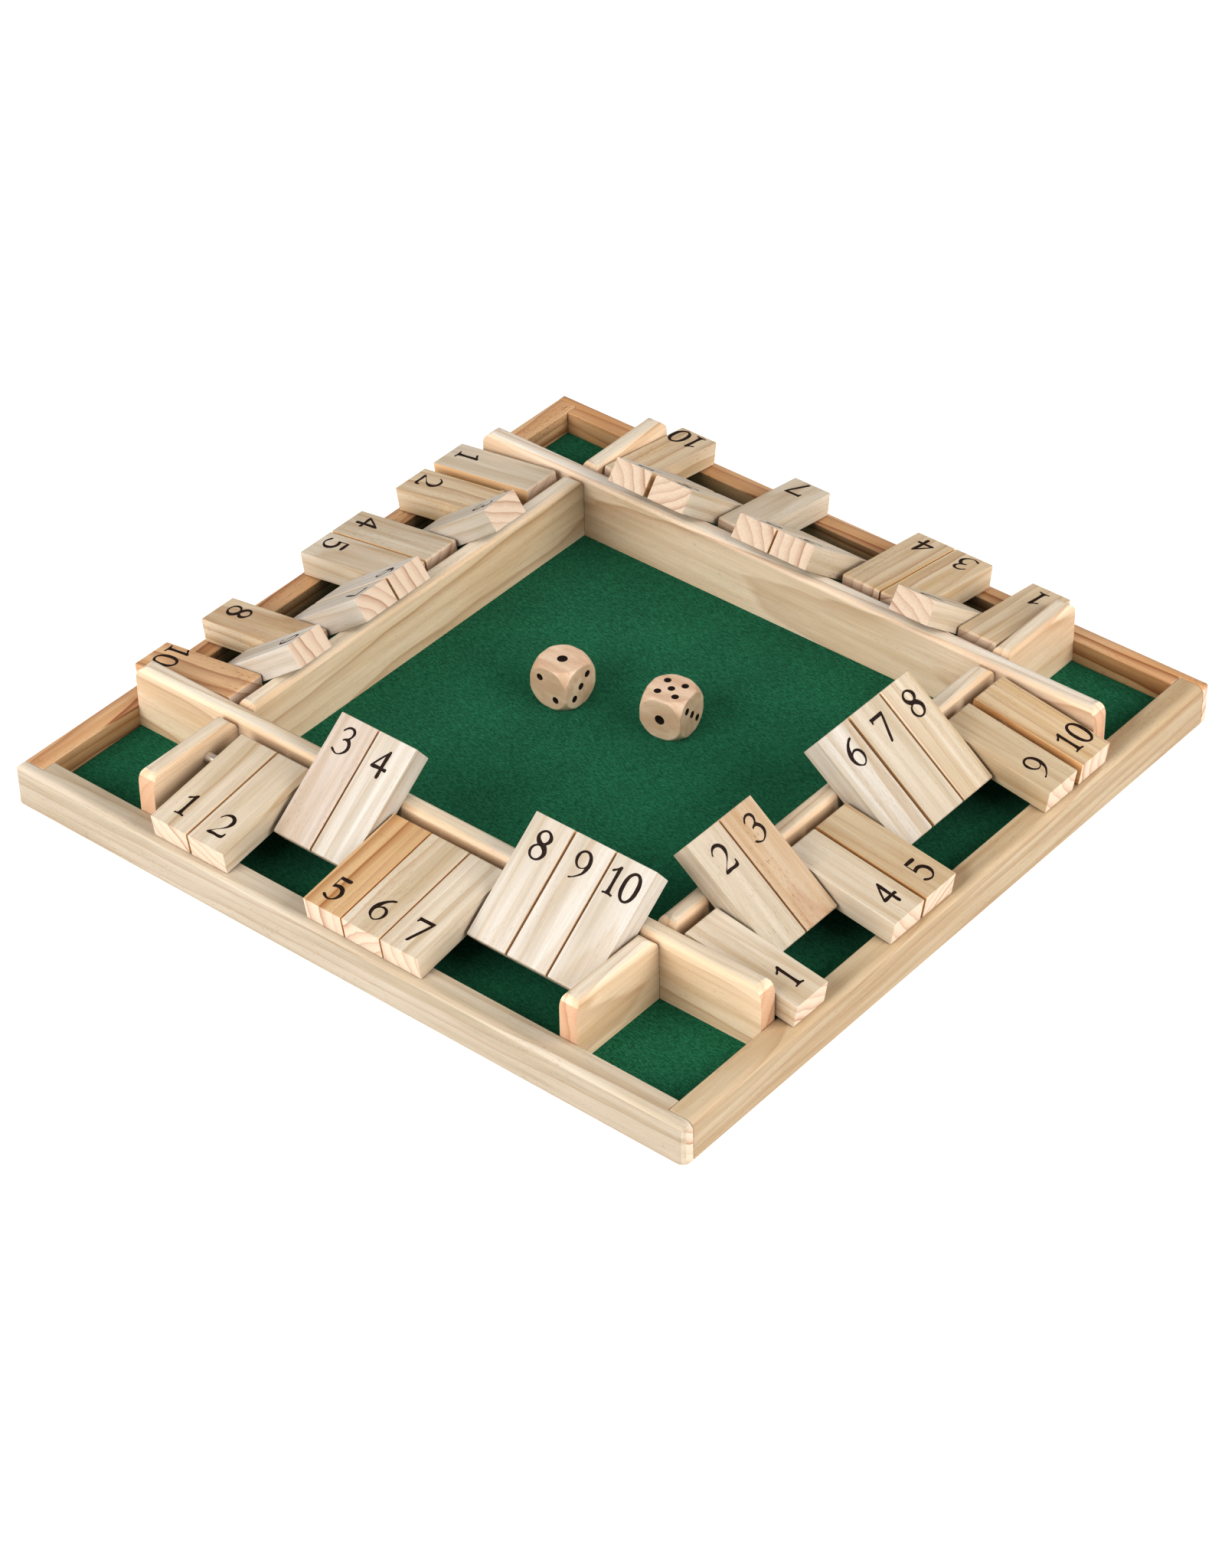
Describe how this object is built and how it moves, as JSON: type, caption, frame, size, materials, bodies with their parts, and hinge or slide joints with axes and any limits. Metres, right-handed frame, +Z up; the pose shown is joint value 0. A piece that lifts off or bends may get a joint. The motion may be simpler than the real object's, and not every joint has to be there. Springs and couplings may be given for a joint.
{
  "type": "shut the box game",
  "caption": "Square pine dice tray with felt bed, cross-lapped walls, corner pockets and rows of numbered tiles that flip on steel rods, with wooden dice.",
  "frame": {"origin": "middle of the footprint, on the table under the rails", "axes": "+Z up; +X along the front rail to the right and +Y away from it, towards the back rail; the front row of tiles lies along -Y"},
  "size_m": [0.285, 0.285, 0.0488],
  "materials": {
    "rail_wood": "clear satin on pale pine",
    "wall_wood": "clear satin on pale pine",
    "tile_wood": "sanded pale pine, numbers printed in dark brown on both faces",
    "base_wood": "plain thin board",
    "die_wood": "smooth waxed hardwood with dark painted pips",
    "felt": "short green felt",
    "steel": "bright drawn steel rod"
  },
  "bodies": {
    "board": {"front_rail": "rail_wood", "right_rail": "rail_wood", "back_rail": "rail_wood", "left_rail": "rail_wood", "base_board": "base_wood", "felt": "felt", "front_wall": "wall_wood", "right_wall": "wall_wood", "back_wall": "wall_wood", "left_wall": "wall_wood", "front_rod": "steel", "right_rod": "steel", "back_rod": "steel", "left_rod": "steel"},
    "front_tile_1": {"front_tile_1": "tile_wood"},
    "front_tile_2": {"front_tile_2": "tile_wood"},
    "front_tile_3": {"front_tile_3": "tile_wood"},
    "front_tile_4": {"front_tile_4": "tile_wood"},
    "front_tile_5": {"front_tile_5": "tile_wood"},
    "front_tile_6": {"front_tile_6": "tile_wood"},
    "front_tile_7": {"front_tile_7": "tile_wood"},
    "front_tile_8": {"front_tile_8": "tile_wood"},
    "front_tile_9": {"front_tile_9": "tile_wood"},
    "front_tile_10": {"front_tile_10": "tile_wood"},
    "right_tile_1": {"right_tile_1": "tile_wood"},
    "right_tile_2": {"right_tile_2": "tile_wood"},
    "right_tile_3": {"right_tile_3": "tile_wood"},
    "right_tile_4": {"right_tile_4": "tile_wood"},
    "right_tile_5": {"right_tile_5": "tile_wood"},
    "right_tile_6": {"right_tile_6": "tile_wood"},
    "right_tile_7": {"right_tile_7": "tile_wood"},
    "right_tile_8": {"right_tile_8": "tile_wood"},
    "right_tile_9": {"right_tile_9": "tile_wood"},
    "right_tile_10": {"right_tile_10": "tile_wood"},
    "back_tile_1": {"back_tile_1": "tile_wood"},
    "back_tile_2": {"back_tile_2": "tile_wood"},
    "back_tile_3": {"back_tile_3": "tile_wood"},
    "back_tile_4": {"back_tile_4": "tile_wood"},
    "back_tile_5": {"back_tile_5": "tile_wood"},
    "back_tile_6": {"back_tile_6": "tile_wood"},
    "back_tile_7": {"back_tile_7": "tile_wood"},
    "back_tile_8": {"back_tile_8": "tile_wood"},
    "back_tile_9": {"back_tile_9": "tile_wood"},
    "back_tile_10": {"back_tile_10": "tile_wood"},
    "left_tile_1": {"left_tile_1": "tile_wood"},
    "left_tile_2": {"left_tile_2": "tile_wood"},
    "left_tile_3": {"left_tile_3": "tile_wood"},
    "left_tile_4": {"left_tile_4": "tile_wood"},
    "left_tile_5": {"left_tile_5": "tile_wood"},
    "left_tile_6": {"left_tile_6": "tile_wood"},
    "left_tile_7": {"left_tile_7": "tile_wood"},
    "left_tile_8": {"left_tile_8": "tile_wood"},
    "left_tile_9": {"left_tile_9": "tile_wood"},
    "left_tile_10": {"left_tile_10": "tile_wood"},
    "die_one": {"die_one": "die_wood"},
    "die_two": {"die_two": "die_wood"}
  },
  "joints": [
    {"name": "front_1_flip", "type": "hinge", "parent": "board", "child": "front_tile_1", "pos_m": [-0.07199, -0.1076, 0.025], "axis": [-1, 0, 0], "range_deg": [0, 151.13]},
    {"name": "front_2_flip", "type": "hinge", "parent": "board", "child": "front_tile_2", "pos_m": [-0.05552, -0.1076, 0.025], "axis": [-1, 0, 0], "range_deg": [0, 151.13]},
    {"name": "front_3_flip", "type": "hinge", "parent": "board", "child": "front_tile_3", "pos_m": [-0.03804, -0.1076, 0.025], "axis": [-1, 0, 0], "range_deg": [-151.13, 0]},
    {"name": "front_4_flip", "type": "hinge", "parent": "board", "child": "front_tile_4", "pos_m": [-0.02166, -0.1076, 0.025], "axis": [-1, 0, 0], "range_deg": [-151.13, 0]},
    {"name": "front_5_flip", "type": "hinge", "parent": "board", "child": "front_tile_5", "pos_m": [-0.00519, -0.1076, 0.025], "axis": [-1, 0, 0], "range_deg": [0, 151.13]},
    {"name": "front_6_flip", "type": "hinge", "parent": "board", "child": "front_tile_6", "pos_m": [0.0111, -0.1076, 0.025], "axis": [-1, 0, 0], "range_deg": [0, 151.13]},
    {"name": "front_7_flip", "type": "hinge", "parent": "board", "child": "front_tile_7", "pos_m": [0.02739, -0.1076, 0.025], "axis": [-1, 0, 0], "range_deg": [0, 151.13]},
    {"name": "front_8_flip", "type": "hinge", "parent": "board", "child": "front_tile_8", "pos_m": [0.04432, -0.1076, 0.025], "axis": [-1, 0, 0], "range_deg": [-151.13, 0]},
    {"name": "front_9_flip", "type": "hinge", "parent": "board", "child": "front_tile_9", "pos_m": [0.06089, -0.1076, 0.025], "axis": [-1, 0, 0], "range_deg": [-151.13, 0]},
    {"name": "front_10_flip", "type": "hinge", "parent": "board", "child": "front_tile_10", "pos_m": [0.07736, -0.1076, 0.025], "axis": [-1, 0, 0], "range_deg": [-151.13, 0]},
    {"name": "right_1_flip", "type": "hinge", "parent": "board", "child": "right_tile_1", "pos_m": [0.1076, -0.07736, 0.025], "axis": [0, 1, 0], "range_deg": [-132.5, 0]},
    {"name": "right_2_flip", "type": "hinge", "parent": "board", "child": "right_tile_2", "pos_m": [0.1076, -0.06034, 0.025], "axis": [0, 1, 0], "range_deg": [0, 151.13]},
    {"name": "right_3_flip", "type": "hinge", "parent": "board", "child": "right_tile_3", "pos_m": [0.1076, -0.04396, 0.025], "axis": [0, 1, 0], "range_deg": [0, 151.13]},
    {"name": "right_4_flip", "type": "hinge", "parent": "board", "child": "right_tile_4", "pos_m": [0.1076, -0.0273, 0.025], "axis": [0, 1, 0], "range_deg": [-151.13, 0]},
    {"name": "right_5_flip", "type": "hinge", "parent": "board", "child": "right_tile_5", "pos_m": [0.1076, -0.01038, 0.025], "axis": [0, 1, 0], "range_deg": [-151.13, 0]},
    {"name": "right_6_flip", "type": "hinge", "parent": "board", "child": "right_tile_6", "pos_m": [0.1076, 0.00664, 0.025], "axis": [0, 1, 0], "range_deg": [0, 151.13]},
    {"name": "right_7_flip", "type": "hinge", "parent": "board", "child": "right_tile_7", "pos_m": [0.1076, 0.02357, 0.025], "axis": [0, 1, 0], "range_deg": [0, 151.13]},
    {"name": "right_8_flip", "type": "hinge", "parent": "board", "child": "right_tile_8", "pos_m": [0.1076, 0.04004, 0.025], "axis": [0, 1, 0], "range_deg": [0, 151.13]},
    {"name": "right_9_flip", "type": "hinge", "parent": "board", "child": "right_tile_9", "pos_m": [0.1076, 0.05697, 0.025], "axis": [0, 1, 0], "range_deg": [-151.13, 0]},
    {"name": "right_10_flip", "type": "hinge", "parent": "board", "child": "right_tile_10", "pos_m": [0.1076, 0.07572, 0.025], "axis": [0, 1, 0], "range_deg": [-151.13, 0]},
    {"name": "back_1_flip", "type": "hinge", "parent": "board", "child": "back_tile_1", "pos_m": [0.07736, 0.1076, 0.025], "axis": [1, 0, 0], "range_deg": [0, 151.13]},
    {"name": "back_2_flip", "type": "hinge", "parent": "board", "child": "back_tile_2", "pos_m": [0.06107, 0.1076, 0.025], "axis": [1, 0, 0], "range_deg": [-151.13, 0]},
    {"name": "back_3_flip", "type": "hinge", "parent": "board", "child": "back_tile_3", "pos_m": [0.04478, 0.1076, 0.025], "axis": [1, 0, 0], "range_deg": [0, 151.13]},
    {"name": "back_4_flip", "type": "hinge", "parent": "board", "child": "back_tile_4", "pos_m": [0.02849, 0.1076, 0.025], "axis": [1, 0, 0], "range_deg": [0, 151.13]},
    {"name": "back_5_flip", "type": "hinge", "parent": "board", "child": "back_tile_5", "pos_m": [0.01019, 0.1076, 0.025], "axis": [1, 0, 0], "range_deg": [-151.13, 0]},
    {"name": "back_6_flip", "type": "hinge", "parent": "board", "child": "back_tile_6", "pos_m": [-0.00628, 0.1076, 0.025], "axis": [1, 0, 0], "range_deg": [-151.13, 0]},
    {"name": "back_7_flip", "type": "hinge", "parent": "board", "child": "back_tile_7", "pos_m": [-0.02585, 0.1076, 0.025], "axis": [1, 0, 0], "range_deg": [0, 151.13]},
    {"name": "back_8_flip", "type": "hinge", "parent": "board", "child": "back_tile_8", "pos_m": [-0.04323, 0.1076, 0.025], "axis": [1, 0, 0], "range_deg": [-151.13, 0]},
    {"name": "back_9_flip", "type": "hinge", "parent": "board", "child": "back_tile_9", "pos_m": [-0.06089, 0.1076, 0.025], "axis": [1, 0, 0], "range_deg": [-151.13, 0]},
    {"name": "back_10_flip", "type": "hinge", "parent": "board", "child": "back_tile_10", "pos_m": [-0.07727, 0.1076, 0.025], "axis": [1, 0, 0], "range_deg": [0, 151.13]},
    {"name": "left_1_flip", "type": "hinge", "parent": "board", "child": "left_tile_1", "pos_m": [-0.1076, 0.07572, 0.025], "axis": [0, -1, 0], "range_deg": [-151.13, 0]},
    {"name": "left_2_flip", "type": "hinge", "parent": "board", "child": "left_tile_2", "pos_m": [-0.1076, 0.05543, 0.025], "axis": [0, -1, 0], "range_deg": [-151.13, 0]},
    {"name": "left_3_flip", "type": "hinge", "parent": "board", "child": "left_tile_3", "pos_m": [-0.1076, 0.03868, 0.025], "axis": [0, -1, 0], "range_deg": [0, 151.13]},
    {"name": "left_4_flip", "type": "hinge", "parent": "board", "child": "left_tile_4", "pos_m": [-0.1076, 0.02175, 0.025], "axis": [0, -1, 0], "range_deg": [-151.13, 0]},
    {"name": "left_5_flip", "type": "hinge", "parent": "board", "child": "left_tile_5", "pos_m": [-0.1076, 0.00528, 0.025], "axis": [0, -1, 0], "range_deg": [-151.13, 0]},
    {"name": "left_6_flip", "type": "hinge", "parent": "board", "child": "left_tile_6", "pos_m": [-0.1076, -0.01147, 0.025], "axis": [0, -1, 0], "range_deg": [0, 151.13]},
    {"name": "left_7_flip", "type": "hinge", "parent": "board", "child": "left_tile_7", "pos_m": [-0.1076, -0.02812, 0.025], "axis": [0, -1, 0], "range_deg": [0, 151.13]},
    {"name": "left_8_flip", "type": "hinge", "parent": "board", "child": "left_tile_8", "pos_m": [-0.1076, -0.04478, 0.025], "axis": [0, -1, 0], "range_deg": [-151.13, 0]},
    {"name": "left_9_flip", "type": "hinge", "parent": "board", "child": "left_tile_9", "pos_m": [-0.1076, -0.06107, 0.025], "axis": [0, -1, 0], "range_deg": [0, 151.13]},
    {"name": "left_10_flip", "type": "hinge", "parent": "board", "child": "left_tile_10", "pos_m": [-0.1076, -0.07736, 0.025], "axis": [0, -1, 0], "range_deg": [-151.13, 0]},
    {"name": "die_one_lift", "type": "slide", "parent": "board", "child": "die_one", "axis": [0, 0, 1], "range_m": [0, 0.045]},
    {"name": "die_two_lift", "type": "slide", "parent": "board", "child": "die_two", "axis": [0, 0, 1], "range_m": [0, 0.045]}
  ]
}
